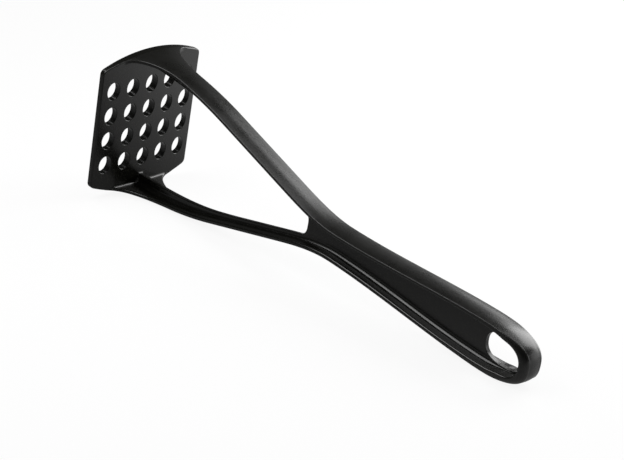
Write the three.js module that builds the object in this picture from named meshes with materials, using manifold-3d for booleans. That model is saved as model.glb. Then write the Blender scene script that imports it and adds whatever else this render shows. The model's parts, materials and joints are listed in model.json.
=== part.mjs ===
// One-piece nylon potato masher, lying on a table as it would be put down.
// Millimetres. The moulding is drawn upright to its handle first: x runs along the handle from the
// plate's inner face, y across the width, z from the lower arm to the upper arm. It is mirror-symmetric
// in y and in z. The finished group is then tilted onto the plate's lower edge and the handle's heel.
//
// The moulding is one closed loop of crowned band (arms, handle rails and end) stiffened by a thin web
// in the middle plane, and a perforated plate across its open end. It is cut into its natural regions on
// flat planes, so that each is a closed solid of its own and neighbours meet face to face.

import * as THREE from 'three';
import { mergeVertices } from 'three/addons/utils/BufferGeometryUtils.js';
import Module from 'manifold-3d';

const wasm = await Module();
wasm.setup();

// Mashing plate
const plateWidth = 63.2;
const plateHeight = 78;
const plateThickness = 4.5;
const plateRimThickness = 3.1;
const plateArcRadius = 80;
const plateCornerRadius = 3;
const holeColumns = 5;
const holeRows = 4;
const holeColumnPitch = 12;
const holeRowPitch = 13.8;
const holeWidth = 7.3;
const holeHeight = 9.6;

// Band that makes the arms, the handle's rails and its end
const bandWidth = 13;
const bandEdge = 1.7;
const endEdge = 3.4;
const bandCrownRadius = 21;
const bandInnerCrown = 0.6;
const flareLength = 28;
const flareReach = 13.3;
const flangeSetback = 0.15;

// Side outline of the band: distance of its crown line from the handle's axis
const shoulderX = 60;
const shoulderHeight = 29.5;
const armLowerX = 104;
const armLowerHeight = 16.4;
const neckX = 143;
const neckHeight = 8.45;
const overallLength = 267.4;
const endLength = 29.4;
const gripX = overallLength - endLength;
const gripHeight = 13.3;
const endSquareness = 2.7;

// Web and ribs in the middle plane
const webThickness = 2.4;
const webFillet = 1.6;
const ribDepth = 5.6;
const gussetDepth = 8.35;
const gussetLength = 75;
const crotchX = 121.1;
const crotchRadius = 4.5;

// Hanging hole through the web at the handle's end
const hangHoleWall = 6.1;
const hangHoleLength = 22.6;
const hangHoleX = overallLength - hangHoleWall - hangHoleLength;
const hangHoleHeight = 14.8;
const hangHoleSquareness = 2.5;

// Where the moulding is cut into its regions
const armJointX = crotchX - crotchRadius;
const endJointX = hangHoleX - 3;

// Colours and finish of the two moulded textures
const satinNylon = { color: 0x1d1d1e, roughness: 0.42, metalness: 0 };
const smoothNylon = { color: 0x19191a, roughness: 0.3, metalness: 0 };

const halfBand = bandWidth / 2;
const halfPlateHeight = plateHeight / 2;
const outlineStep = 6;
const acrossSteps = 6;
const filletSteps = 2;
const endSteps = 10;
const cutMargin = 60;

// Closed three.js geometry to manifold solid and back.
function toSolid(geometry) {
  const bare = geometry.index ? geometry.clone() : geometry;
  bare.deleteAttribute('normal');
  bare.deleteAttribute('uv');
  const merged = mergeVertices(bare, 1e-5);
  return new wasm.Manifold(new wasm.Mesh({
    numProp: 3,
    vertProperties: new Float32Array(merged.attributes.position.array),
    triVerts: new Uint32Array(merged.index.array),
  }));
}

function toGeometry(solid) {
  const mesh = solid.getMesh();
  const geometry = new THREE.BufferGeometry();
  geometry.setAttribute('position', new THREE.BufferAttribute(mesh.vertProperties, 3));
  geometry.setIndex(new THREE.BufferAttribute(mesh.triVerts, 1));
  const flat = geometry.toNonIndexed();
  flat.computeVertexNormals();
  return flat;
}

// Moves each vertex of a geometry to where place(x, y, z) says.
function mapVertices(geometry, place) {
  const position = geometry.attributes.position;
  for (let i = 0; i < position.count; i += 1) {
    const p = place(position.getX(i), position.getY(i), position.getZ(i));
    position.setXYZ(i, p.x, p.y, p.z);
  }
  return geometry;
}

// Box that keeps everything between two x planes and two z planes.
function region(fromX, toX, fromZ, toZ) {
  const box = new THREE.BoxGeometry(toX - fromX, plateWidth + cutMargin, toZ - fromZ);
  box.translate((fromX + toX) / 2, 0, (fromZ + toZ) / 2);
  return toSolid(box);
}

// Cubic from (x0, z0) to (x1, z1) with the given slopes at its ends.
function blend(x, x0, z0, slope0, x1, z1, slope1) {
  const span = x1 - x0;
  const t = (x - x0) / span;
  const a = 2 * t ** 3 - 3 * t ** 2 + 1;
  const b = t ** 3 - 2 * t ** 2 + t;
  const c = t ** 3 - t ** 2;
  return a * z0 + b * span * slope0 + (1 - a) * z1 + c * span * slope1;
}

// Height of the band's crown line above the axis, from the plate to the start of the rounded end.
const armSlope = (armLowerHeight - shoulderHeight) / (armLowerX - shoulderX);
const plateSlope = -0.03;
const gripSlope = 0.02;

function crownHeight(x) {
  if (x < shoulderX) {
    const start = halfPlateHeight - flangeSetback;
    return blend(x, 0, start, plateSlope, shoulderX, shoulderHeight, armSlope);
  }
  if (x < armLowerX) {
    return shoulderHeight + armSlope * (x - shoulderX);
  }
  if (x < neckX) {
    return blend(x, armLowerX, armLowerHeight, armSlope, neckX, neckHeight, 0);
  }
  return blend(x, neckX, neckHeight, 0, gripX, gripHeight, gripSlope);
}

// Crown line of the whole loop: upper arm, upper rail, rounded end, then its mirror image.
function crownLine() {
  const upper = [];
  const embed = plateThickness / 2;
  upper.push(new THREE.Vector2(-embed, crownHeight(0)));
  const steps = Math.ceil(gripX / outlineStep);
  for (let i = 0; i < steps; i += 1) {
    const x = gripX * i / steps;
    upper.push(new THREE.Vector2(x, crownHeight(x)));
  }
  for (let i = 0; i <= endSteps; i += 1) {
    const angle = Math.PI / 2 * i / endSteps;
    const x = gripX + (overallLength - gripX) * Math.sin(angle) ** (2 / endSquareness);
    const z = gripHeight * Math.cos(angle) ** (2 / endSquareness);
    upper.push(new THREE.Vector2(x, i === endSteps ? 0 : z));
  }
  const lower = upper.slice(0, -1).reverse().map((p) => new THREE.Vector2(p.x, -p.y));
  return upper.concat(lower);
}

// Inward unit normal of an outline at point i.
function inwardNormal(line, i) {
  const before = line[Math.max(i - 1, 0)];
  const after = line[Math.min(i + 1, line.length - 1)];
  const along = after.clone().sub(before).normalize();
  return new THREE.Vector2(along.y, -along.x);
}

function halfWidthAt(x) {
  const t = Math.max(0, 1 - Math.max(x, 0) / flareLength);
  return halfBand + flareReach * (1 - Math.sqrt(1 - t * t));
}

// The crown flattens to the plate's own arc where the arm flares out to meet it.
function crownDrop(x, y) {
  const t = Math.min(1, Math.max(x, 0) / flareLength);
  const curvature = (1 - t) / plateArcRadius + t / bandCrownRadius;
  return y * y * curvature / 2;
}

function edgeThickness(x) {
  const start = gripX - 40;
  const t = Math.max(0, (x - start) / (overallLength - start));
  return bandEdge + (endEdge - bandEdge) * t * t;
}

// Fillet that runs up from the band's inner face to the web.
function filletRise(y) {
  const reach = y - webThickness / 2;
  if (reach >= webFillet) {
    return 0;
  }
  const run = webFillet - Math.max(reach, 0);
  return webFillet - Math.sqrt(webFillet ** 2 - run ** 2);
}

// Positions across half the band, from the middle to its edge.
function halfSection() {
  const marks = [0, webThickness / 2];
  for (let i = 1; i <= filletSteps; i += 1) {
    marks.push(webThickness / 2 + webFillet * (1 - Math.cos(Math.PI / 2 * i / filletSteps)));
  }
  const root = marks[marks.length - 1];
  const free = acrossSteps / 2;
  for (let i = 1; i <= free; i += 1) {
    marks.push(root + (halfBand - root) * i / free);
  }
  return marks;
}

// The band: a rectangle extruded straight, then laid along the crown line. The extrusion's x runs
// across the band, its y from the outer face (0) to the inner face (1), and its z counts the stations.
function bandSolid() {
  const line = crownLine();
  const marks = halfSection();
  const across = marks.slice(1).reverse().map((y) => -y).concat(marks);
  const outer = across.map((y) => new THREE.Vector2(y, 0));
  const inner = across.slice().reverse().map((y) => new THREE.Vector2(y, 1));
  const stations = line.length - 1;
  const strip = new THREE.ExtrudeGeometry(new THREE.Shape(outer.concat(inner)), {
    depth: stations,
    steps: stations,
    bevelEnabled: false,
  });
  const root = webThickness / 2 + webFillet;
  mapVertices(strip, (acrossY, side, station) => {
    const i = Math.round(station);
    const point = line[i];
    const normal = inwardNormal(line, i);
    const half = halfWidthAt(point.x);
    const plain = Math.abs(acrossY);
    const free = Math.max(0, plain - root) / (halfBand - root);
    const y = plain <= root ? plain : root + free * (half - root);
    const drop = crownDrop(point.x, y);
    const innerCrown = bandInnerCrown * Math.min(1, Math.max(point.x, 0) / flareLength);
    const full = edgeThickness(point.x) + crownDrop(point.x, half) + innerCrown * (1 - (y / half) ** 2);
    const depth = side < 0.5 ? drop : full + filletRise(y);
    return new THREE.Vector3(
      point.x + normal.x * depth,
      -Math.sign(acrossY) * y,
      point.y + normal.y * depth,
    );
  });
  return toSolid(strip);
}

// Solid of a side outline (x, z), centred on the middle plane.
function midPlaneSolid(shape, thickness, curveSegments) {
  const slab = new THREE.ExtrudeGeometry(shape, {
    depth: thickness,
    bevelEnabled: false,
    curveSegments,
  });
  slab.translate(0, 0, -thickness / 2);
  slab.rotateX(Math.PI / 2);
  return toSolid(slab);
}

// Height of the rib's free edge above the axis: it deepens to a gusset at the plate.
function ribHeight(x) {
  const t = Math.max(0, 1 - Math.max(x, 0) / gussetLength);
  const gusset = (gussetDepth - ribDepth) * t * t * (3 - 2 * t);
  return crownHeight(Math.max(x, 0)) - ribDepth - gusset;
}

// Opening between the arms, from inside the plate to the rounded crotch.
function armOpening() {
  const cornerX = crotchX - crotchRadius;
  const upper = [new THREE.Vector2(-plateThickness, ribHeight(0))];
  const steps = Math.ceil(cornerX / outlineStep);
  for (let i = 0; i <= steps; i += 1) {
    const x = cornerX * i / steps;
    upper.push(new THREE.Vector2(x, ribHeight(x)));
  }
  const start = upper[upper.length - 1];
  const corner = new THREE.QuadraticBezierCurve(
    start,
    new THREE.Vector2(crotchX, start.y + armSlope * crotchRadius),
    new THREE.Vector2(crotchX, Math.max(0, start.y + (armSlope - 1) * crotchRadius)),
  );
  upper.push(...corner.getPoints(6).slice(1));
  const lower = upper.slice().reverse().map((p) => new THREE.Vector2(p.x, -p.y));
  return new THREE.Shape(upper.concat(lower).reverse());
}

function hangingHole() {
  const points = [];
  const count = 32;
  for (let i = 0; i < count; i += 1) {
    const angle = 2 * Math.PI * i / count;
    const c = Math.cos(angle);
    const s = Math.sin(angle);
    const power = 2 / hangHoleSquareness;
    points.push(new THREE.Vector2(
      hangHoleX + hangHoleLength / 2 * (1 + Math.sign(c) * Math.abs(c) ** power),
      hangHoleHeight / 2 * Math.sign(s) * Math.abs(s) ** power,
    ));
  }
  return new THREE.Shape(points);
}

// Thin web that fills the loop in the middle plane, less the opening and the hanging hole.
function webSolid() {
  const line = crownLine();
  const outline = line.map((p, i) => {
    const inset = edgeThickness(p.x) / 2 + crownDrop(p.x, halfWidthAt(p.x));
    return p.clone().add(inwardNormal(line, i).multiplyScalar(inset));
  });
  const full = midPlaneSolid(new THREE.Shape(outline.reverse()), webThickness, 12);
  const opening = midPlaneSolid(armOpening(), webThickness * 4, 12);
  const hole = midPlaneSolid(hangingHole(), webThickness * 4, 12);
  return full.subtract(opening).subtract(hole);
}

// Plate outline in its own plane: straight sides, arched top and bottom, small round corners.
function plateOutline() {
  const sideCentre = plateWidth / 2 - plateCornerRadius;
  const arcCentre = halfPlateHeight - plateArcRadius;
  const reach = Math.sqrt((plateArcRadius - plateCornerRadius) ** 2 - sideCentre ** 2);
  const cornerCentre = arcCentre + reach;
  const angle = Math.atan2(reach, sideCentre);
  const shape = new THREE.Shape();
  shape.absarc(sideCentre, cornerCentre, plateCornerRadius, 0, angle);
  shape.absarc(0, arcCentre, plateArcRadius, angle, Math.PI - angle);
  shape.absarc(-sideCentre, cornerCentre, plateCornerRadius, Math.PI - angle, Math.PI);
  shape.absarc(-sideCentre, -cornerCentre, plateCornerRadius, Math.PI, Math.PI + angle);
  shape.absarc(0, -arcCentre, plateArcRadius, Math.PI + angle, 2 * Math.PI - angle);
  shape.absarc(sideCentre, -cornerCentre, plateCornerRadius, 2 * Math.PI - angle, 2 * Math.PI);
  for (let column = 0; column < holeColumns; column += 1) {
    for (let row = 0; row < holeRows; row += 1) {
      const y = (column - (holeColumns - 1) / 2) * holeColumnPitch;
      const z = (row - (holeRows - 1) / 2) * holeRowPitch;
      const hole = new THREE.Path();
      hole.absellipse(y, z, holeWidth / 2, holeHeight / 2, 0, 2 * Math.PI, true);
      shape.holes.push(hole);
    }
  }
  return shape;
}

// The plate is flat on its mashing face and thins gently to its sides on the inner face.
function plateSolid() {
  const slab = new THREE.ExtrudeGeometry(plateOutline(), {
    depth: 1,
    bevelEnabled: false,
    curveSegments: 10,
  });
  const thinning = plateThickness - plateRimThickness;
  mapVertices(slab, (y, z, side) => {
    const inner = -thinning * (2 * y / plateWidth) ** 2;
    return new THREE.Vector3(side < 0.5 ? -plateThickness : inner, y, z);
  });
  return toSolid(slab);
}

// Angle that sets the lowest point of the plate or lower arm and the handle's heel on one level.
function restingTilt() {
  const lowest = crownLine().filter((p) => p.y < 0);
  const feet = lowest.filter((p) => p.x < neckX);
  feet.push(new THREE.Vector2(0, -halfPlateHeight));
  const heels = lowest.filter((p) => p.x > neckX);
  const angles = feet.map((foot) => {
    return Math.min(...heels.map((heel) => Math.atan2(heel.y - foot.y, heel.x - foot.x)));
  });
  return Math.max(...angles);
}

function addPart(group, name, solid, finish) {
  const mesh = new THREE.Mesh(toGeometry(solid), new THREE.MeshStandardMaterial(finish));
  mesh.name = name;
  group.add(mesh);
}

const plate = plateSolid();
const band = bandSolid();
const loopWeb = webSolid();
const web = loopWeb.subtract(band);
const far = overallLength + cutMargin;
const tall = halfPlateHeight + cutMargin;
const upperArmRegion = region(-cutMargin, armJointX, 0, tall);
const lowerArmRegion = region(-cutMargin, armJointX, -tall, 0);
const endRegion = region(endJointX, far, -tall, tall);

const masher = new THREE.Group();
addPart(masher, 'mashing_plate', plate, smoothNylon);
addPart(masher, 'upper_arm', band.intersect(upperArmRegion).subtract(plate), satinNylon);
addPart(masher, 'lower_arm', band.intersect(lowerArmRegion).subtract(plate), satinNylon);
addPart(masher, 'upper_rib', web.intersect(upperArmRegion).subtract(plate), smoothNylon);
addPart(masher, 'lower_rib', web.intersect(lowerArmRegion).subtract(plate), smoothNylon);
addPart(masher, 'upper_rail', band.intersect(region(armJointX, endJointX, 0, tall)), satinNylon);
addPart(masher, 'lower_rail', band.intersect(region(armJointX, endJointX, -tall, 0)), satinNylon);
addPart(masher, 'handle_web', web.intersect(region(armJointX, endJointX, -tall, tall)), smoothNylon);
addPart(masher, 'handle_end', band.add(loopWeb).intersect(endRegion), satinNylon);

masher.rotation.y = restingTilt();
masher.updateMatrixWorld(true);
const box = new THREE.Box3().setFromObject(masher, true);
masher.position.set(-(box.min.x + box.max.x) / 2, -(box.min.y + box.max.y) / 2, -box.min.z);

export default masher;
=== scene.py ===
# Looks of the one-piece nylon potato masher. The moulding is drawn again at full finish from the same
# named sizes as the solids: rounded edges, moulded fillets, a fine-textured outside and smooth recesses.
# x runs along the handle from the plate's inner face, y across the width and z from arm to arm. Lengths
# are millimetres until a mesh is made. Each piece stands for one to three regions of the moulding.

import json
import math

import bmesh
import bpy
import numpy as np
from mathutils import Matrix, Vector
from mathutils.geometry import delaunay_2d_cdt


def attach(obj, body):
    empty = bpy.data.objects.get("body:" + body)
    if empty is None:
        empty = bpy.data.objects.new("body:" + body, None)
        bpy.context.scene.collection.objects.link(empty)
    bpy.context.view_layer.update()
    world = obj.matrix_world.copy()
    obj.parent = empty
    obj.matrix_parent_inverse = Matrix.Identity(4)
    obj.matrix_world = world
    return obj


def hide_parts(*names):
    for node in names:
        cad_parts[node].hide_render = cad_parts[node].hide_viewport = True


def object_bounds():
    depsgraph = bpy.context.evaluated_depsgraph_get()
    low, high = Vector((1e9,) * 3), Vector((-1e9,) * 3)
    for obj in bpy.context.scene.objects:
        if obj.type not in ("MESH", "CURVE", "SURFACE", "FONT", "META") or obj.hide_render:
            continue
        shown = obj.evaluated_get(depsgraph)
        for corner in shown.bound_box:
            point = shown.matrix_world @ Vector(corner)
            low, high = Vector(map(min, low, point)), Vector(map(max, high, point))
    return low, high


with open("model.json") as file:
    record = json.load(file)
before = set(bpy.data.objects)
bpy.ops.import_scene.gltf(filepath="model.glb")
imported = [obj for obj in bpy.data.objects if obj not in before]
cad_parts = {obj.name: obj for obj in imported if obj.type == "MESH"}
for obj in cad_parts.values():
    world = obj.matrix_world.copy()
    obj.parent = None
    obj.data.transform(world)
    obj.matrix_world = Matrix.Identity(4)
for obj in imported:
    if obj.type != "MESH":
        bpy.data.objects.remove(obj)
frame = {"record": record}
cad_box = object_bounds()

# ---------------------------------------------------------------- sizes shared with the solids
PLATE_WIDTH = 63.2
PLATE_HEIGHT = 78.0
PLATE_THICKNESS = 4.5
PLATE_RIM_THICKNESS = 3.1
PLATE_ARC_RADIUS = 80.0
PLATE_CORNER_RADIUS = 3.0
HOLE_COLUMNS = 5
HOLE_ROWS = 4
HOLE_COLUMN_PITCH = 12.0
HOLE_ROW_PITCH = 13.8
HOLE_WIDTH = 7.3
HOLE_HEIGHT = 9.6

BAND_WIDTH = 13.0
BAND_EDGE = 1.7
END_EDGE = 3.4
BAND_CROWN_RADIUS = 21.0
BAND_INNER_CROWN = 0.6
FLARE_LENGTH = 28.0
FLARE_REACH = 13.3

SHOULDER_X = 60.0
SHOULDER_HEIGHT = 29.5
ARM_LOWER_X = 104.0
ARM_LOWER_HEIGHT = 16.4
NECK_X = 143.0
NECK_HEIGHT = 8.45
OVERALL_LENGTH = 267.4
END_LENGTH = 29.4
GRIP_X = OVERALL_LENGTH - END_LENGTH
GRIP_HEIGHT = 13.3
END_SQUARENESS = 2.7
PLATE_SLOPE = -0.03
GRIP_SLOPE = 0.02

WEB_HALF = 1.2
WEB_FILLET = 2.2
RIB_DEPTH = 5.6
GUSSET_DEPTH = 8.35
GUSSET_LENGTH = 75.0
CROTCH_X = 121.1
CROTCH_RADIUS = 4.5

HANG_HOLE_LENGTH = 22.6
HANG_HOLE_HEIGHT = 14.8
HANG_HOLE_WALL = 6.1
HANG_HOLE_X = OVERALL_LENGTH - HANG_HOLE_WALL - HANG_HOLE_LENGTH
HANG_HOLE_SQUARENESS = 2.5

ARM_JOINT_X = CROTCH_X - CROTCH_RADIUS
END_JOINT_X = HANG_HOLE_X - 3.0

# ---------------------------------------------------------------- finish that the solids leave out
CREST_INSET = 0.17  # keeps the finer curves inside the solids' own box
OUTER_ROUND = 0.3  # length that each rounded edge takes up
INNER_ROUND = 0.7
END_OUTER_ROUND = 3.3
END_INNER_ROUND = 0.9
END_FULLNESS = 1.3  # the band thickens a little more round the tip, for its broad rounding
SWELL_FROM = 0.35  # where the tip's broad rounding starts, as a share of the hanging hole's length
SWELL_FULL = 4.0  # how far before the tip it is full
END_TAPER = 40.0  # how far before the round end the band's edge starts to thicken
FOOT_FILLET = 1.1  # where the arms run into the plate
RIB_FOOT_FILLET = 0.9
OPENING_ROUND = 0.55
HANG_HOLE_ROUND = 0.2
PLATE_ROUND = 0.6
HOLE_ROUND = 0.3
SINK = 0.006  # how far a tangent foot passes under the plate's face
FOOT_DIVE = 6.0  # slope at which a foot goes on under the face
FOOT_DEPTH = 0.25  # how far under the face that slope goes on
RIB_START_DEPTH = 0.06  # how far under the face the ribs begin
FLANGE_DIP_START = 0.4  # how far under the face the flare's outer side starts to curl in
FLANGE_DIP = 0.15  # how strongly it curls
BRIM_GAP = 0.12  # least width of flat web between a fillet and a rounded opening
LEAST_FILLET = 0.35
LEAST_WALL = 0.25  # height of the band's edge that its two roundings leave
OPENING_ROUND_AT_PLATE = 0.15  # share of an opening's rounding that is left at the plate
OPENING_ROUND_FULL = 0.8  # distance from the plate at which it is whole

# ---------------------------------------------------------------- how finely the shapes are drawn
TABLE_STEP = 0.1
NORMAL_WINDOW = 33  # table steps that the crown line's normals are averaged over
STATION_STEP = 1.8
END_STATION_STEP = 0.7
EDGE_STEP = 0.6
FOOT_ZONE = 2.5  # this near the plate the web's mesh is ruled straight across
BRIM_ZONE = 12.0  # stations this far before the hanging hole may come up against its brim
FREE_FOOT = 3.0  # stations this near the plate keep their full depth
PLATE_GRID_STEP = 2.5
RIM_MARGIN = 2.0  # the plate's grid keeps this far from its rim
HOLE_MARGIN = 0.8  # and this far from its holes
HOLE_SLACK = 0.02  # more than a hole's straight-sided mesh falls short of its ellipse
WELD = 0.002  # points closer than this become one
FAR = 99.0  # a depth that nothing limits
OUTER_STEPS, WALL_STEPS, INNER_STEPS = 9, 1, 5
OUTER_ARC_STEPS, INNER_ARC_STEPS, FILLET_STEPS = 7, 5, 8
RIM_STEPS, PLATE_RIM_STEPS, HOLE_SIDES = 6, 5, 48

HALF_BAND = BAND_WIDTH / 2
HALF_PLATE = PLATE_HEIGHT / 2
MM = 0.001
ARM_SLOPE = (ARM_LOWER_HEIGHT - SHOULDER_HEIGHT) / (ARM_LOWER_X - SHOULDER_X)


def blend(x, x0, z0, slope0, x1, z1, slope1):
    """Cubic from (x0, z0) to (x1, z1) with the given slopes at its ends."""
    span = x1 - x0
    t = (x - x0) / span
    a = 2 * t**3 - 3 * t**2 + 1
    b = t**3 - 2 * t**2 + t
    c = t**3 - t**2
    return a * z0 + b * span * slope0 + (1 - a) * z1 + c * span * slope1


def crown_height(x):
    """Height of the band's crown line above the handle's axis, up to the rounded end."""
    x = np.maximum(np.asarray(x, float), 0.0)
    start = HALF_PLATE - CREST_INSET
    return np.select(
        [x < SHOULDER_X, x < ARM_LOWER_X, x < NECK_X],
        [
            blend(x, 0, start, PLATE_SLOPE, SHOULDER_X, SHOULDER_HEIGHT, ARM_SLOPE),
            SHOULDER_HEIGHT + ARM_SLOPE * (x - SHOULDER_X),
            blend(x, ARM_LOWER_X, ARM_LOWER_HEIGHT, ARM_SLOPE, NECK_X, NECK_HEIGHT, 0),
        ],
        blend(x, NECK_X, NECK_HEIGHT, 0, GRIP_X, GRIP_HEIGHT, GRIP_SLOPE),
    )


def smoothstep(t):
    t = np.clip(t, 0, 1)
    return t * t * (3 - 2 * t)


def fade(value, start, length):
    """1 up to start, easing to 0 over the length that follows."""
    return 1 - smoothstep((value - start) / length)


def superellipse(angle, length, height, squareness):
    """Points of a rounded oblong about the origin, from its half length and half height."""
    c, s = np.cos(angle), np.sin(angle)
    power = 2 / squareness
    return length * np.sign(c) * np.abs(c) ** power, height * np.sign(s) * np.abs(s) ** power


def resample(points, step):
    """Points an even step apart along a polyline, both ends kept."""
    lengths = np.r_[0, np.cumsum(np.hypot(*np.diff(points, axis=0).T))]
    marks = np.linspace(0, lengths[-1], max(2, round(lengths[-1] / step) + 1))
    return np.stack([np.interp(marks, lengths, points[:, k]) for k in (0, 1)], 1)


def normals_of(points):
    """Unit normals of a polyline, to the right of its direction."""
    d = np.gradient(points, axis=0)
    d /= np.hypot(*d.T)[:, None]
    return np.stack([d[:, 1], -d[:, 0]], 1)


def crown_table():
    """The crown line and its inward normals by u, which is x along the grip, then runs round the end."""
    x = np.arange(-3, GRIP_X, TABLE_STEP)
    angle = np.linspace(math.pi / 2, 0, 4001)
    end_length = OVERALL_LENGTH - CREST_INSET - GRIP_X
    end = np.stack(superellipse(angle, end_length, GRIP_HEIGHT, END_SQUARENESS), 1)
    end[:, 0] += GRIP_X
    end[-1, 1] = 0
    end = resample(end, TABLE_STEP)
    line = np.vstack([np.stack([x, crown_height(x)], 1), end])
    both_halves = np.vstack([line, line[-2::-1] * (1, -1)])
    window = np.hanning(NORMAL_WINDOW)[1:-1]
    normal = normals_of(both_halves)
    normal = np.stack([np.convolve(normal[:, k], window / window.sum(), "same") for k in (0, 1)], 1)
    normal[:20] = normal[20]
    normal /= np.hypot(*normal.T)[:, None]
    normal = normal[: len(line)]
    normal[-1] = (-1, 0)
    # at the plate the band's sections stand parallel to it
    upright = fade(line[:, 0], 3, 12)[:, None]
    normal = (1 - upright) * normal + upright * np.array([0.0, -1.0])
    end_step = np.hypot(*np.diff(end, axis=0).T).mean()
    u = np.r_[x, GRIP_X + np.arange(len(end)) * end_step]
    return u, line, normal


CROWN_U, CROWN_LINE, CROWN_NORMAL = crown_table()
APEX_U = CROWN_U[-1]


def crown_frame(u):
    """Point and inward normal of the crown line at u."""
    point = np.stack([np.interp(u, CROWN_U, CROWN_LINE[:, k]) for k in (0, 1)], -1)
    normal = np.stack([np.interp(u, CROWN_U, CROWN_NORMAL[:, k]) for k in (0, 1)], -1)
    return point, normal / np.linalg.norm(normal, axis=-1)[..., None]


def plate_face(y):
    """The plate's inner face: flat in the middle, falling away to its sides."""
    return -(PLATE_THICKNESS - PLATE_RIM_THICKNESS) * (2 * np.asarray(y) / PLATE_WIDTH) ** 2


def foot_rise(u, radius):
    """Fillet that runs out to the plate's face, then dives under it."""
    u = np.asarray(u, float) + SINK
    run = np.clip(radius - np.maximum(u, 0), 0, radius)
    rise = radius - np.sqrt(radius**2 - run**2)
    return rise + FOOT_DIVE * np.clip(-u, 0, FOOT_DEPTH)


def crown_curve(u):
    """Curvature of the band's outer face across its width, from the plate's arc to the band's crown."""
    t = np.clip(np.asarray(u) / FLARE_LENGTH, 0, 1)
    return (1 - t) / PLATE_ARC_RADIUS + t / BAND_CROWN_RADIUS


def crown_drop(u, y):
    """How far the band's outer face falls below its crown line at y."""
    curve = crown_curve(u)
    return (1 - np.sqrt(1 - (curve * y) ** 2)) / curve


def place(u, y, depth):
    """Point of the band at u along the crown line, y across it and depth below it."""
    near_plate = fade(np.asarray(u), 2, 10)
    u = u + plate_face(y) * near_plate
    point, normal = crown_frame(u)
    spot = point + normal * np.asarray(depth)[..., None]
    return np.stack([spot[..., 0], np.broadcast_to(y, spot[..., 0].shape), spot[..., 1]], -1)


def rib_height(x):
    """Height of the rib's free edge above the axis: it deepens to a gusset at the plate."""
    gusset = (GUSSET_DEPTH - RIB_DEPTH) * smoothstep(1 - np.maximum(x, 0) / GUSSET_LENGTH)
    return crown_height(x) - RIB_DEPTH - gusset


# ---------------------------------------------------------------- mesh collector
class Skin:
    """Points and tagged faces of a surface: the band's quarter (y and z not negative), or the plate."""

    def __init__(self):
        self.points = []
        self.faces = []
        self.tags = []

    def add_points(self, points):
        start = len(self.points)
        self.points.extend(np.asarray(points, float).reshape(-1, 3))
        return start

    def add_face(self, corners, tag):
        self.faces.append(tuple(corners))
        self.tags.append(tag)

    def add_grid(self, grid, tag_of):
        """grid is rows x columns x 3; tag_of(row, column) names the piece and finish of each quad."""
        rows, columns = grid.shape[:2]
        start = self.add_points(grid)
        for i in range(rows - 1):
            for j in range(columns - 1):
                a = start + i * columns + j
                self.add_face((a, a + 1, a + columns + 1, a + columns), tag_of(i, j))

    def add_ring(self, rows, tag):
        """rows x points x 3, where the last point of a row meets its first."""
        count, around = rows.shape[:2]
        start = self.add_points(rows)
        for i in range(count - 1):
            for j in range(around):
                k = (j + 1) % around
                a = start + i * around
                self.add_face((a + j, a + k, a + around + k, a + around + j), tag)


# ---------------------------------------------------------------- stations along the band
# The flare's edge is a quarter ellipse; its stations lie closest together at the plate.
flare_angles = np.radians(
    np.r_[90, 88, 86, 84, np.arange(82, 70, -1), np.arange(70, 40, -2.5), np.arange(40, 0, -4)]
)
flare_u = FLARE_LENGTH * (1 - np.sin(flare_angles))
flare_y = HALF_BAND + FLARE_REACH * (1 - np.cos(flare_angles))
flare_n = np.stack([FLARE_REACH * np.sin(flare_angles), FLARE_LENGTH * np.cos(flare_angles)], 1)
flare_n /= np.hypot(*flare_n.T)[:, None]


def spaced(start, stop, step):
    """Even marks from start up to, but not including, stop."""
    return np.linspace(start, stop, round((stop - start) / step) + 1)[:-1]


straight_u = np.r_[
    spaced(FLARE_LENGTH, ARM_JOINT_X, STATION_STEP),
    spaced(ARM_JOINT_X, END_JOINT_X, STATION_STEP),
    spaced(END_JOINT_X, APEX_U, END_STATION_STEP),
    APEX_U,
]
# Two stations under the plate's face close the flare's outermost tip.
tip_u = np.array([-0.12, -0.03])
tip_y = np.array([22.4, 21.0])
edge_u = np.r_[tip_u, flare_u, straight_u]
edge_y = np.r_[tip_y, flare_y, np.full(len(straight_u), HALF_BAND)]
edge_n = np.vstack([[[1, 0], [1, 0]], flare_n, np.tile([[0.0, 1.0]], (len(straight_u), 1))])
stations = len(edge_u)
arm_joint = int(np.argmin(np.abs(edge_u - ARM_JOINT_X)))
end_joint = int(np.argmin(np.abs(edge_u - END_JOINT_X)))


def hanging_hole():
    """Upper half of the hanging hole's edge, left to right, and its normals out into the web."""
    turn = np.linspace(math.pi, 0, 2001)
    length, height = HANG_HOLE_LENGTH / 2, HANG_HOLE_HEIGHT / 2
    edge = np.stack(superellipse(turn, length, height, HANG_HOLE_SQUARENESS), 1)
    edge[:, 0] += HANG_HOLE_X + HANG_HOLE_LENGTH / 2
    edge[[0, -1], 1] = 0
    edge = resample(edge, EDGE_STEP)
    out = -normals_of(edge)
    out[0] = (-1, 0)
    out[-1] = (1, 0)
    return edge, out


hole_edge, hole_out = hanging_hole()
hole_brim = hole_edge + hole_out * HANG_HOLE_ROUND

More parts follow.
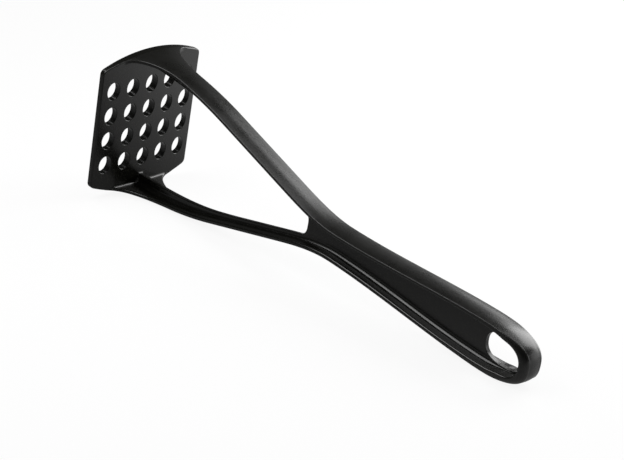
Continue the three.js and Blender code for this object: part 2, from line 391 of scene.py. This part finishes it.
# Roundings and thickness of the band's edge at each station; all grow towards the tip.
swell_start = HANG_HOLE_X + SWELL_FROM * HANG_HOLE_LENGTH
swell = smoothstep((edge_u - swell_start) / (APEX_U - SWELL_FULL - swell_start))
outer_round = OUTER_ROUND + (END_OUTER_ROUND - OUTER_ROUND) * swell
inner_round = INNER_ROUND + (END_INNER_ROUND - INNER_ROUND) * swell
towards_end = np.clip(
    (edge_u - (GRIP_X - END_TAPER)) / (OVERALL_LENGTH - GRIP_X + END_TAPER), 0, 1
)
edge_thickness = BAND_EDGE + (END_EDGE - BAND_EDGE) * towards_end**2 + END_FULLNESS * swell
edge_drop = crown_drop(edge_u, edge_y)
inner_crown = BAND_INNER_CROWN * np.clip(edge_u / FLARE_LENGTH, 0, 1)
inner_slope = 2 * inner_crown / edge_y
sink = SINK * fade(edge_u, 1, 3)
web_u = edge_u - edge_n[:, 0] * inner_round / np.hypot(1, inner_slope) - sink



def arm_opening(rib_x):
    """Upper half of the opening between the arms: the rib's free edge, then the rounded crotch."""
    rib_edge = np.stack([rib_x, rib_height(rib_x) - foot_rise(rib_x, RIB_FOOT_FILLET)], 1)
    corner_start = rib_edge[-1]
    control_z = corner_start[1] + np.array([ARM_SLOPE, ARM_SLOPE - 1]) * CROTCH_RADIUS
    control_z = np.maximum(control_z, 0)
    t = np.linspace(0, 1, 15)[1:, None]
    corner_curve = (
        (1 - t) ** 2 * corner_start
        + 2 * t * (1 - t) * np.array([CROTCH_X, control_z[0]])
        + t**2 * np.array([CROTCH_X, control_z[1]])
    )
    straight_z = np.r_[np.arange(control_z[1] - EDGE_STEP, EDGE_STEP / 2, -EDGE_STEP), 0]
    straight = np.stack([np.full(len(straight_z), CROTCH_X), straight_z], 1)
    edge = np.vstack([rib_edge, corner_curve, straight])
    out = -normals_of(edge)
    out[-1] = (1, 0)
    return edge, out


rib_start = int(np.argmax(web_u > -RIB_START_DEPTH))
rib_x = web_u[rib_start : arm_joint + 1]
opening_edge, opening_out = arm_opening(rib_x)
opening_ease = smoothstep(opening_edge[:, 0] / OPENING_ROUND_FULL)
opening_radius = OPENING_ROUND * (OPENING_ROUND_AT_PLATE + (1 - OPENING_ROUND_AT_PLATE) * opening_ease)
opening_brim = opening_edge + opening_out * opening_radius[:, None]

# How deep each station may go before it meets the brim of the opening or of the hanging hole.
crest, inward = crown_frame(edge_u)


def depth_to(brim, i):
    """Depth below the crown line at which station i's normal meets a brim, or FAR."""
    relative = brim - crest[i]
    deep = relative @ inward[i]
    aside = relative @ np.array([inward[i][1], -inward[i][0]])
    crosses = aside[:-1] * aside[1:] <= 0
    share = aside[:-1] / (aside[:-1] - aside[1:] + 1e-12)
    met = (deep[:-1] + share * np.diff(deep))[crosses]
    return met.min() if len(met) else FAR


hole_loop = np.vstack([hole_brim, hole_brim[-2::-1] * (1, -1)])
room = np.full(stations, FAR)
for i in range(stations):
    if edge_u[i] > HANG_HOLE_X - BRIM_ZONE:
        room[i] = depth_to(hole_loop, i)
    elif FREE_FOOT < edge_u[i] < CROTCH_X:
        room[i] = depth_to(opening_brim, i)

beside_web = edge_drop + inner_crown
edge_thickness = np.minimum(edge_thickness, room - BRIM_GAP - LEAST_FILLET - beside_web)
web_fillet = np.minimum(room - BRIM_GAP - edge_thickness - beside_web, WEB_FILLET)


def ease(values):
    """Smooths values along the stations without raising any."""
    soft = np.hanning(9)[1:-1]
    soft /= soft.sum()
    padded = np.r_[np.full(3, values[0]), values, values[-2:-5:-1]]
    return np.minimum(values, np.convolve(padded, soft, "valid"))


edge_thickness = ease(edge_thickness)
web_fillet = ease(web_fillet)
spare = np.minimum((edge_thickness - LEAST_WALL) / (outer_round + inner_round), 1)
outer_round = outer_round * spare
inner_round = inner_round * spare


def arc(start, corner, end, weight, count):
    """Arc from start to end, tangent to the lines to their corner: the weight makes it circular."""
    t = np.linspace(0, 1, count + 1)[:, None]
    a, b, c = (1 - t) ** 2, 2 * weight * t * (1 - t), t**2
    return (a * start + b * corner + c * end) / (a + b + c)


def station_points(i):
    """Half section of the band at station i, from the crown line round the edge to the web."""
    u, y, n = edge_u[i], edge_y[i], edge_n[i]
    curve = float(crown_curve(u))
    top = edge_drop[i]
    bottom = edge_thickness[i] + edge_drop[i]
    slope_out = y * curve * n[1] / math.sqrt(1 - (y * curve) ** 2)
    slope_in = inner_slope[i]
    out_way = np.array([1, -slope_out]) / math.hypot(1, slope_out)
    in_way = np.array([1, slope_in]) / math.hypot(1, slope_in)
    down = np.array([0.0, 1.0])
    corner = np.array([0.0, top])
    heel = np.array([0.0, bottom])
    outer_turn = math.acos(-out_way @ down)
    inner_turn = math.acos(down @ in_way)

    def lay(profile):
        """Places a profile of distances from the edge and depths below the crown line."""
        v, depth = profile[:, 0], profile[:, 1]
        return place(u - n[0] * v - sink[i], y - n[1] * v, depth)

    # the edge: its outer rounding, its wall and its inner rounding
    outer_start = corner + out_way * outer_round[i]
    outer_end = corner + down * outer_round[i]
    first = arc(outer_start, corner, outer_end, math.cos(outer_turn / 2), OUTER_ARC_STEPS)
    inner_start = heel - down * inner_round[i]
    inner_end = heel + in_way * inner_round[i]
    second = arc(inner_start, heel, inner_end, math.cos(inner_turn / 2), INNER_ARC_STEPS)
    second_rise = np.array([foot_rise(u - n[0] * v - sink[i], FOOT_FILLET) for v in second[:, 0]])
    second = second + np.stack([np.zeros(len(second)), second_rise], 1)
    # outer face, level with the rounded edge's start
    start_u = u - n[0] * first[0, 0] - sink[i]
    start_y = y - n[1] * first[0, 0]
    across = start_y * np.linspace(0, 1, OUTER_STEPS + 1)[:-1]
    dip = FLANGE_DIP * max(0.0, -FLANGE_DIP_START - start_u) ** 2
    outer = place(start_u, across, crown_drop(start_u, across) + dip)
    # inner face and the fillet up to the web
    end_u = web_u[i]
    end_y = y - n[1] * second[-1, 0]
    radius = web_fillet[i]
    root = WEB_HALF + foot_rise(end_u, RIB_FOOT_FILLET) + radius
    rise = foot_rise(end_u, FOOT_FILLET)
    inward_y = end_y + (root - end_y) * np.linspace(0, 1, INNER_STEPS + 1)[1:]
    inner_depth = bottom + inner_crown[i] * (1 - (inward_y / y) ** 2) + rise
    inner = place(end_u, inward_y, inner_depth)
    turn = np.linspace(0, math.pi / 2, FILLET_STEPS + 1)[1:]
    fillet_y = root - radius * np.sin(turn)
    fillet_depth = bottom + inner_crown[i] * (1 - (fillet_y / y) ** 2) + rise
    fillet = place(end_u, fillet_y, fillet_depth + radius * (1 - np.cos(turn)))
    return np.vstack([outer, lay(first), lay(second), inner, fillet])


SATIN, SMOOTH = 0, 1
skin = Skin()
grid = np.array([station_points(i) for i in range(stations)])
# the quarter's borders lie exactly on the middle planes, where it is mirrored
grid[:, 0, 1] = 0
grid[-1, :, 2] = 0
satin_columns = OUTER_STEPS + OUTER_ARC_STEPS + WALL_STEPS + 1


def piece_of(i):
    """The piece that the band belongs to at station i."""
    return "arm" if i < arm_joint else "grip" if i < end_joint else "end"


skin.add_grid(grid, lambda i, j: (piece_of(i), SATIN if j < satin_columns else SMOOTH))

# ---------------------------------------------------------------- web, rib and their rounded openings
root_line = grid[rib_start:, -1][:, [0, 2]]
arm_cut_index = arm_joint - rib_start
past_rib = np.full(len(opening_edge) - len(rib_x), FAR)
web_half = WEB_HALF + foot_rise(np.r_[rib_x, past_rib], RIB_FOOT_FILLET)


def rim_grid(edge, out, half, radius):
    """Rounded rim of an opening in the web: from its face to the middle plane."""
    turn = np.linspace(0, math.pi / 2, RIM_STEPS + 1)
    reach = radius[:, None] * (1 - np.sin(turn))
    side = half[:, None] - radius[:, None] * (1 - np.cos(turn))
    reach = np.hstack([reach, np.zeros((len(edge), 2))])
    side = np.hstack([side, side[:, -1:] / 2, np.zeros((len(edge), 1))])
    flat = edge[:, None] + out[:, None] * reach[..., None]
    return np.stack([flat[..., 0], side, flat[..., 1]], -1)


opening_rim = rim_grid(opening_edge, opening_out, web_half, opening_radius)
opening_rim[-1, :, 2] = 0
skin.add_grid(opening_rim, lambda i, j: ("arm" if i < arm_cut_index else "grip", SMOOTH))
hole_count = len(hole_edge)
hole_rim = rim_grid(
    hole_edge, hole_out, np.full(hole_count, WEB_HALF), np.full(hole_count, HANG_HOLE_ROUND)
)
hole_rim[[0, -1], :, 2] = 0
skin.add_grid(hole_rim, lambda i, j: ("end", SATIN))

# The web's face is bordered by the band's root, the brims of both openings and the middle plane.
end_cut_x = root_line[end_joint - rib_start, 0]
middle_x = np.r_[
    np.linspace(hole_brim[0, 0], end_cut_x, 3)[1:],
    np.linspace(end_cut_x, opening_brim[-1, 0], 40)[1:-1],
]
middle = np.stack([middle_x, np.zeros(len(middle_x))], 1)
loop = np.vstack([root_line, hole_brim[::-1], middle, opening_brim[::-1]])
loop_side = np.r_[
    grid[rib_start:, -1, 1], np.full(len(hole_brim) + len(middle), WEB_HALF), web_half[::-1]
]
last = len(loop) - 1
edges = [(k, (k + 1) % len(loop)) for k in range(len(loop))]
# kept across it: rulings near the plate, the arm's cut and the cut before the handle's end
edges += [(k, last - k) for k in range(1, len(rib_x)) if rib_x[k] < FOOT_ZONE or k == arm_cut_index]
edges.append((end_joint - rib_start, len(root_line) + len(hole_brim) + 1))


def inside(point, border):
    """Whether a point lies inside a closed border."""
    a, b = border, np.roll(border, -1, axis=0)
    spans = (a[:, 1] > point[1]) != (b[:, 1] > point[1])
    a, b = a[spans], b[spans]
    crossing = a[:, 0] + (point[1] - a[:, 1]) * (b[:, 0] - a[:, 0]) / (b[:, 1] - a[:, 1])
    return (crossing > point[0]).sum() % 2 == 1


def fill(points, edges, border):
    """Triangles inside a closed border that keep the given edges, as indices of the given points."""
    spots = [Vector(p) for p in points]
    found = delaunay_2d_cdt(spots, edges, [], 0, 1e-6, True)
    origin = [ids[0] for ids in found[3]]
    faces = [[origin[k] for k in face] for face in found[2]]
    return [face for face in faces if inside(points[face].mean(0), border)]


web_points = np.stack([loop[:, 0], loop_side, loop[:, 1]], 1)
start = skin.add_points(web_points)
arm_cut = (root_line[arm_cut_index], opening_brim[arm_cut_index])


def beyond(cut, point):
    """Whether a point lies on the handle's side of a cut across the web."""
    a, b = cut
    return (b[0] - a[0]) * (point[1] - a[1]) - (b[1] - a[1]) * (point[0] - a[0]) > 0


for face in fill(loop, edges, loop):
    centre = loop[face].mean(0)
    if centre[0] > end_cut_x:
        piece = "end"
    elif centre[0] > max(arm_cut[0][0], arm_cut[1][0]) or beyond(arm_cut, centre):
        piece = "grip"
    else:
        piece = "arm"
    skin.add_face([start + k for k in face], (piece, SMOOTH))


# ---------------------------------------------------------------- plate
def arc_spot(centre_y, centre_z, radius, angle):
    """Point of an arc and its outward normal: y, z, then the normal's y and z."""
    c, s = math.cos(angle), math.sin(angle)
    return centre_y + radius * c, centre_z + radius * s, c, s


def plate_outline():
    """Plate outline, its corners rounded, with outward normals."""
    side = PLATE_WIDTH / 2 - PLATE_CORNER_RADIUS
    arc_centre = HALF_PLATE - PLATE_ARC_RADIUS
    reach = math.sqrt((PLATE_ARC_RADIUS - PLATE_CORNER_RADIUS) ** 2 - side**2)
    corner_z = arc_centre + reach
    angle = math.atan2(reach, side)
    spots = [(PLATE_WIDTH / 2, z, 1, 0) for z in np.linspace(0, corner_z, 14)[1:-1]]
    for turn in np.linspace(0, angle, 9):
        spots.append(arc_spot(side, corner_z, PLATE_CORNER_RADIUS, turn))
    for turn in np.linspace(angle, math.pi / 2, 24)[1:]:
        spots.append(arc_spot(0, arc_centre, PLATE_ARC_RADIUS, turn))
    first = np.array(spots)
    second = first[:-1][::-1] * (-1, 1, -1, 1)
    upper = np.vstack([first, second])
    lower = upper * (-1, -1, -1, -1)
    right = np.array([[PLATE_WIDTH / 2, 0, 1, 0]])
    return np.vstack([right, upper, -right, lower])


def ring(edge, out, side, radius):
    """Rounded wall from the inner face to the mashing face; side is 1 round a hole, -1 round the rim."""
    turn = np.linspace(0, math.pi / 2, PLATE_RIM_STEPS + 1)
    reach = radius * (1 - np.sin(turn))
    sunk = radius * (1 - np.cos(turn))
    rows = []
    for r, s in zip(reach, sunk):
        spot = edge + out * (side * r)
        rows.append(np.stack([plate_face(spot[:, 0]) - s, spot[:, 0], spot[:, 1]], 1))
    middle = (rows[-1][:, 0] - PLATE_THICKNESS + radius) / 2
    rows.append(np.stack([middle, edge[:, 0], edge[:, 1]], 1))
    for r, s in zip(reach[::-1], sunk[::-1]):
        spot = edge + out * (side * r)
        rows.append(np.stack([np.full(len(edge), s - PLATE_THICKNESS), spot[:, 0], spot[:, 1]], 1))
    return np.array(rows)


PLATE = ("plate", SMOOTH)
plate_skin = Skin()
outline = plate_outline()
inset_rim = outline[:, :2] * ((HALF_PLATE - CREST_INSET) / HALF_PLATE)
plate_skin.add_ring(ring(inset_rim, outline[:, 2:], -1, PLATE_ROUND), PLATE)
around = np.linspace(0, 2 * math.pi, HOLE_SIDES + 1)[:-1]
hole_points = np.stack([HOLE_WIDTH / 2 * np.cos(around), HOLE_HEIGHT / 2 * np.sin(around)], 1)
hole_normals = np.stack([HOLE_HEIGHT * np.cos(around), HOLE_WIDTH * np.sin(around)], 1)
hole_normals /= np.hypot(*hole_normals.T)[:, None]
centres = [
    ((c - (HOLE_COLUMNS - 1) / 2) * HOLE_COLUMN_PITCH, (r - (HOLE_ROWS - 1) / 2) * HOLE_ROW_PITCH)
    for c in range(HOLE_COLUMNS)
    for r in range(HOLE_ROWS)
]
plate_loops = [inset_rim - outline[:, 2:] * PLATE_ROUND]
for centre in centres:
    edge = hole_points + centre
    plate_skin.add_ring(ring(edge, hole_normals, 1, HOLE_ROUND), PLATE)
    plate_loops.append(edge + hole_normals * HOLE_ROUND)
plate_points = [tuple(p) for ring_points in plate_loops for p in ring_points]
plate_edges = []
base = 0
for ring_points in plate_loops:
    count = len(ring_points)
    plate_edges += [(base + k, base + (k + 1) % count) for k in range(count)]
    base += count
half_axes = np.array([HOLE_WIDTH / 2 + HOLE_ROUND, HOLE_HEIGHT / 2 + HOLE_ROUND])


def in_hole(point, margin):
    """Whether a point lies in one of the plate's holes or within a margin of it."""
    return any((((point - np.array(c)) / (half_axes + margin)) ** 2).sum() < 1 for c in centres)


def grid_marks(half):
    """Even marks to both sides of the middle, as far as half."""
    count = int(half / PLATE_GRID_STEP)
    return PLATE_GRID_STEP * np.arange(-count, count + 1)


# Points between the holes keep the faces small enough for the inner face to curve.
for y in grid_marks(PLATE_WIDTH / 2):
    for z in grid_marks(HALF_PLATE):
        top = math.sqrt(PLATE_ARC_RADIUS**2 - y * y) + HALF_PLATE - PLATE_ARC_RADIUS
        clear = abs(y) < PLATE_WIDTH / 2 - RIM_MARGIN and abs(z) < top - RIM_MARGIN
        if clear and not in_hole(np.array([y, z]), HOLE_MARGIN):
            plate_points.append((y, z))
flat = np.array(plate_points)
front_start = plate_skin.add_points(np.stack([plate_face(flat[:, 0]), flat[:, 0], flat[:, 1]], 1))
back = np.stack([np.full(len(flat), -PLATE_THICKNESS), flat[:, 0], flat[:, 1]], 1)
back_start = plate_skin.add_points(back)
for face in fill(flat, plate_edges, plate_loops[0]):
    if not in_hole(flat[face].mean(0), -HOLE_SLACK):
        plate_skin.add_face([front_start + k for k in face], PLATE)
        plate_skin.add_face([back_start + k for k in face][::-1], PLATE)


# ---------------------------------------------------------------- meshes in the row frame
mount = next(m for m in frame["record"]["mounts"] if m["name"] == "mashing_face")
along = -Vector(mount["axis"]).normalized()
across = Vector((0, 1, 0))
upward = along.cross(across)
origin = Vector(mount["pos_m"]) + along * (PLATE_THICKNESS * MM)
to_row = Matrix.Translation(origin) @ Matrix((along, across, upward)).transposed().to_4x4()
to_row = to_row @ Matrix.Scale(MM, 4)

CAP = 2  # marks the faces that close a piece where the next one goes on, all hidden


def close(bm):
    """Fills a mesh's open loops and gives the new faces."""
    open_edges = [e for e in bm.edges if e.is_boundary]
    made = bmesh.ops.holes_fill(bm, edges=open_edges, sides=0)["faces"]
    return bmesh.ops.triangulate(bm, faces=made)["faces"] if made else []


def whole_mesh(source, mirrors):
    """Mirrors a skin, welds it and closes it. Gives points, area-weighted normals and tagged faces."""
    points = np.array(source.points)
    signs = [(1, 1), (-1, 1), (1, -1), (-1, -1)] if mirrors else [(1, 1)]
    names = []
    bm = bmesh.new()
    tag = bm.faces.layers.int.new("tag")
    for sy, sz in signs:
        verts = [bm.verts.new((p[0], p[1] * sy, p[2] * sz)) for p in points]
        for face, (piece, finish) in zip(source.faces, source.tags):
            corners = [verts[k] for k in face]
            made = bm.faces.new(corners if sy * sz > 0 else corners[::-1])
            name = ("upper_" if sz > 0 else "lower_") + piece if piece == "arm" else piece
            if (name, finish) not in names:
                names.append((name, finish))
            made[tag] = names.index((name, finish))
    bmesh.ops.remove_doubles(bm, verts=bm.verts, dist=WELD)
    for face in close(bm):
        face[tag] = -1
    bmesh.ops.recalc_face_normals(bm, faces=bm.faces)
    bm.verts.index_update()
    spots = np.array([v.co[:] for v in bm.verts])
    normals = np.zeros_like(spots)
    faces = []
    for face in bm.faces:
        ids = [v.index for v in face.verts]
        if face[tag] >= 0:
            normals[ids] += np.array(face.normal[:]) * face.calc_area()
            faces.append((ids, *names[face[tag]]))
    bm.free()
    lengths = np.linalg.norm(normals, axis=1)
    normals /= np.maximum(lengths, 1e-12)[:, None]
    return spots, normals, faces


def make_piece(name, spots, normals, faces, materials, stands_for):
    """One closed piece in the row frame with the whole moulding's own normals."""
    bm = bmesh.new()
    home = bm.verts.layers.int.new("home")
    verts = {}
    for ids, finish in faces:
        for k in ids:
            if k not in verts:
                verts[k] = bm.verts.new(spots[k])
                verts[k][home] = k + 1
        face = bm.faces.new([verts[k] for k in ids])
        face.material_index = finish
        face.smooth = True
    for face in close(bm):
        face.material_index = CAP
    bmesh.ops.recalc_face_normals(bm, faces=bm.faces)
    bm.transform(to_row)
    mesh = bpy.data.meshes.new(name)
    bm.to_mesh(mesh)
    # the whole moulding's normals run on across the cuts; only the hidden closing faces are flat
    turn = to_row.to_3x3().normalized()
    loops = []
    bm.faces.ensure_lookup_table()
    for polygon, face in zip(mesh.polygons, bm.faces):
        for v in face.verts:
            flat = polygon.material_index == CAP
            loops.append(face.normal if flat else turn @ Vector(normals[v[home] - 1]))
    for polygon in mesh.polygons:
        if polygon.material_index == CAP:
            polygon.material_index = SMOOTH
    bm.free()
    mesh.normals_split_custom_set([tuple(n) for n in loops])
    for material in materials:
        mesh.materials.append(material)
    piece = bpy.data.objects.new(name, mesh)
    bpy.context.scene.collection.objects.link(piece)
    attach(piece, "root")
    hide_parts(*stands_for)


# ---------------------------------------------------------------- materials
WHITE = (1, 1, 1, 1)


class Nodes:
    """Short way to write the node tree of a material or a world."""

    def __init__(self, owner, output_kind="ShaderNodeOutputMaterial"):
        owner.use_nodes = True
        self.tree = owner.node_tree
        self.tree.nodes.clear()
        self.output = self.add(output_kind)

    def add(self, kind, inputs=None, **settings):
        node = self.tree.nodes.new(kind)
        for key, value in settings.items():
            setattr(node, key, value)
        for key, value in (inputs or {}).items():
            self.put(node, key, value)
        return node

    def put(self, node, key, value):
        if isinstance(value, bpy.types.NodeSocket):
            self.tree.links.new(value, node.inputs[key])
        else:
            node.inputs[key].default_value = value

    def maths(self, operation, *values):
        return self.add("ShaderNodeMath", dict(enumerate(values)), operation=operation).outputs[0]

    def spread(self, value, low, high, to_low, to_high, curve="LINEAR"):
        """Maps low..high to to_low..to_high and holds the ends."""
        keys = {"Value": value, "From Min": low, "From Max": high, "To Min": to_low, "To Max": to_high}
        return self.add("ShaderNodeMapRange", keys, interpolation_type=curve, clamp=True).outputs[0]

    def noise(self, where, per_metre, detail, rough):
        keys = {"Vector": where, "Scale": per_metre, "Detail": detail, "Roughness": rough}
        return self.add("ShaderNodeTexNoise", keys).outputs[0]

    def mix_colour(self, share, first, second):
        return self.add("ShaderNodeMix", {0: share, 6: first, 7: second}, data_type="RGBA").outputs[2]

    def mix_number(self, share, first, second):
        return self.add("ShaderNodeMix", {0: share, 2: first, 3: second}, data_type="FLOAT").outputs[0]

    def mix_shader(self, share, first, second):
        keys = {0: share, 1: first.outputs[0], 2: second.outputs[0]}
        self.put(self.output, "Surface", self.add("ShaderNodeMixShader", keys).outputs[0])

    def bump(self, height, depth, **inputs):
        keys = {"Height": height, "Distance": depth, "Strength": 1.0, **inputs}
        return self.add("ShaderNodeBump", keys).outputs[0]


NYLON_IOR = 1.53
MOTTLES_PER_METRE = 90
WAVES_PER_METRE = 38


def nylon(name, dark, light, rough_low, rough_high, grain_size, grain_depth, wave_depth):
    """Moulded black nylon: faint mottling, varying gloss, a fine grain and slight sink waves. Metres."""
    material = bpy.data.materials.new(name)
    n = Nodes(material)
    where = n.add("ShaderNodeTexCoord").outputs["Object"]
    mottle = n.noise(where, MOTTLES_PER_METRE, 4.0, 0.6)
    fine = n.noise(where, 1.0 / grain_size, 2.0, 0.55)
    broad = n.noise(where, WAVES_PER_METRE, 2.0, 0.4)
    colour = n.mix_colour(n.spread(mottle, 0.3, 0.7, 0, 1), (*dark, 1), (*light, 1))
    uneven = n.maths("ADD", mottle, n.maths("MULTIPLY", fine, 0.6))
    rough = n.spread(uneven, 0.5, 1.1, rough_low, rough_high)
    surface = n.bump(fine, grain_depth, Normal=n.bump(broad, wave_depth))
    keys = {"Base Color": colour, "Roughness": rough, "Normal": surface, "IOR": NYLON_IOR}
    n.put(n.output, "Surface", n.add("ShaderNodeBsdfPrincipled", keys).outputs[0])
    return material


satin = nylon(
    "satin_nylon",
    dark=(0.0022, 0.0022, 0.0015),
    light=(0.0036, 0.0036, 0.0027),
    rough_low=0.24,
    rough_high=0.34,
    grain_size=0.00045,
    grain_depth=0.000025,
    wave_depth=0.00002,
)
smooth = nylon(
    "smooth_nylon",
    dark=(0.0021, 0.0021, 0.0013),
    light=(0.0032, 0.0032, 0.0023),
    rough_low=0.18,
    rough_high=0.27,
    grain_size=0.0005,
    grain_depth=0.00001,
    wave_depth=0.00003,
)
MATERIALS = [satin, smooth]  # in the order of SATIN and SMOOTH

# ---------------------------------------------------------------- pieces
spots, normals, faces = whole_mesh(skin, True)
GROUPS = {
    "upper_arm": ("upper_arm_with_rib", ["upper_arm", "upper_rib"], "satin_nylon"),
    "lower_arm": ("lower_arm_with_rib", ["lower_arm", "lower_rib"], "satin_nylon"),
    "grip": ("handle_grip", ["upper_rail", "lower_rail", "handle_web"], "satin_nylon"),
    "end": ("handle_end_with_hanging_hole", ["handle_end"], "satin_nylon"),
}
for group, (name, stands_for, slot_name) in GROUPS.items():
    own = [(ids, finish) for ids, piece, finish in faces if piece == group]
    make_piece(name, spots, normals, own, MATERIALS, stands_for)
spots, normals, faces = whole_mesh(plate_skin, False)
own = [(ids, finish) for ids, piece, finish in faces]
make_piece("perforated_plate", spots, normals, own, MATERIALS, ["mashing_plate"])

# ---------------------------------------------------------------- floor and background
# The camera and transmission rays see white all round. Mirror rays see a floor with painted shade in
# front of the object and painted light behind it, and a dim room: 1 in all four values would give them
# the same white.
# painted reflection levels: the floor's strength for mirror rays, painted shade in front and painted
# light behind
FLOOR_FRONT_PAINTED_SHADE = 0.13
FLOOR_BACK_PAINTED_LIGHT = 0.85
ROOM_HORIZON = 0.14
ROOM_ABOVE = 0.05

FLOOR_HALF = 6.0  # metres from the floor's middle to its sides
FLOOR_COLOUR = (0.8, 0.8, 0.8, 1)
FLOOR_WHITENESS = 0.9  # the rest keeps the object's shadow
GRADE_START, GRADE_END = -0.05, 0.09  # metres in front of and behind the object's middle line
GRADE_SKEW = 0.15
GRADE_POWER = 1.5
ROOM_LIGHT = 0.2
ROOM_FADE = 0.26  # height of the view at which the room is at its darkest, 1 being straight up

low, high = cad_box


def floor_material():
    """White studio sweep that keeps a soft shadow. In reflections only, painted shade darkens its front
    part and it grows paler behind.
    """
    material = bpy.data.materials.new("studio_white")
    n = Nodes(material)
    path = n.add("ShaderNodeLightPath").outputs
    seen = n.maths("MAXIMUM", path["Is Camera Ray"], path["Is Glossy Ray"])
    seen = n.maths("MAXIMUM", seen, path["Is Transmission Ray"])
    spot = n.add("ShaderNodeTexCoord").outputs["Object"]
    split = n.add("ShaderNodeSeparateXYZ", {0: spot}).outputs
    # painted shade for mirror rays: the floor's glow falls off towards the front of the object
    backward = n.maths("MULTIPLY_ADD", split["X"], GRADE_SKEW, split["Y"])
    painted_shade_ramp = n.maths("POWER", n.spread(backward, GRADE_START, GRADE_END, 0.0, 1.0), GRADE_POWER)
    dim = n.maths("MULTIPLY_ADD", painted_shade_ramp, FLOOR_BACK_PAINTED_LIGHT - FLOOR_FRONT_PAINTED_SHADE, FLOOR_FRONT_PAINTED_SHADE)
    strength = n.mix_number(path["Is Glossy Ray"], 1.0, dim)
    lit = n.add("ShaderNodeBsdfDiffuse", {"Color": FLOOR_COLOUR})
    glow = n.add("ShaderNodeEmission", {"Color": WHITE, "Strength": strength})
    n.mix_shader(n.maths("MULTIPLY", seen, FLOOR_WHITENESS), lit, glow)
    return material


def studio_world():
    """White to the camera, a dim room in reflections and an even, weak light on the object."""
    world = bpy.data.worlds.new("studio")
    n = Nodes(world, "ShaderNodeOutputWorld")
    path = n.add("ShaderNodeLightPath").outputs
    direct = n.maths("MAXIMUM", path["Is Camera Ray"], path["Is Transmission Ray"])
    seen = n.maths("MAXIMUM", direct, path["Is Glossy Ray"])
    way = n.add("ShaderNodeTexCoord").outputs["Generated"]
    height = n.add("ShaderNodeSeparateXYZ", {0: way}).outputs["Z"]
    dim = n.spread(height, 0.0, ROOM_FADE, ROOM_HORIZON, ROOM_ABOVE, "SMOOTHSTEP")
    room = n.add("ShaderNodeBackground", {"Color": WHITE, "Strength": ROOM_LIGHT})
    strength = n.maths("MAXIMUM", direct, dim)
    backdrop = n.add("ShaderNodeBackground", {"Color": WHITE, "Strength": strength})
    n.mix_shader(seen, room, backdrop)
    return world


floor_mesh = bpy.data.meshes.new("floor")
bm = bmesh.new()
bmesh.ops.create_grid(bm, x_segments=1, y_segments=1, size=FLOOR_HALF)
bm.to_mesh(floor_mesh)
bm.free()
floor_mesh.materials.append(floor_material())
floor = bpy.data.objects.new("floor", floor_mesh)
floor.location = (0, 0, low.z)
bpy.context.scene.collection.objects.link(floor)
bpy.context.scene.world = studio_world()

# ---------------------------------------------------------------- camera and lamps
CAMERA_PLACE = (0.69641, -0.72306, 0.47670)
CAMERA_TARGET = (-0.002094, -0.004029, 0.026812)
CAMERA_ROLL = 4.796  # degrees
CAMERA_LENS = 133.81


def aim(thing, target):
    """Turns a lamp or camera to face a point, with its upper side up."""
    thing.rotation_mode = "QUATERNION"
    thing.rotation_quaternion = (Vector(target) - thing.location).to_track_quat("-Z", "Y")


camera_data = bpy.data.cameras.new("camera")
camera_data.sensor_width = 36.0
camera_data.lens = CAMERA_LENS
camera_data.clip_start = 0.05
camera_data.clip_end = 50.0
camera = bpy.data.objects.new("camera", camera_data)
camera.location = CAMERA_PLACE
aim(camera, CAMERA_TARGET)
roll = Matrix.Rotation(math.radians(CAMERA_ROLL), 4, "Z").to_quaternion()
camera.rotation_quaternion = camera.rotation_quaternion @ roll
bpy.context.scene.collection.objects.link(camera)
bpy.context.scene.camera = camera


def softbox(name, location, width, height, radiance):
    """Rectangular lamp facing the object; its power follows from its radiance and its area."""
    data = bpy.data.lights.new(name, "AREA")
    data.shape = "RECTANGLE"
    data.size = width
    data.size_y = height
    data.energy = radiance * math.pi * width * height
    lamp = bpy.data.objects.new(name, data)
    lamp.location = location
    aim(lamp, (low + high) / 2)
    bpy.context.scene.collection.objects.link(lamp)


softbox("back_box", (0.11, 0.64, 0.38), 0.54, 0.78, 5.8)
softbox("high_back_card", (-0.08, 0.42, 0.42), 0.25, 0.25, 0.7)
softbox("low_back_card", (-0.19, 0.5, 0.25), 0.12, 0.16, 2.2)
softbox("left_card", (-0.18, 0.31, 0.21), 0.28, 0.3, 0.1)
softbox("over_card", (0.06, 0.16, 0.85), 0.4, 0.35, 2.0)
softbox("top_box", (-0.175, -0.105, 0.35), 0.22, 0.22, 3.4)
softbox("front_box", (-0.2, -0.45, 0.6), 0.24, 0.4, 4.0)
softbox("side_card", (0.64, 0.7, 0.2), 0.6, 0.5, 1.5)

bpy.context.scene.view_settings.view_transform = "Standard"
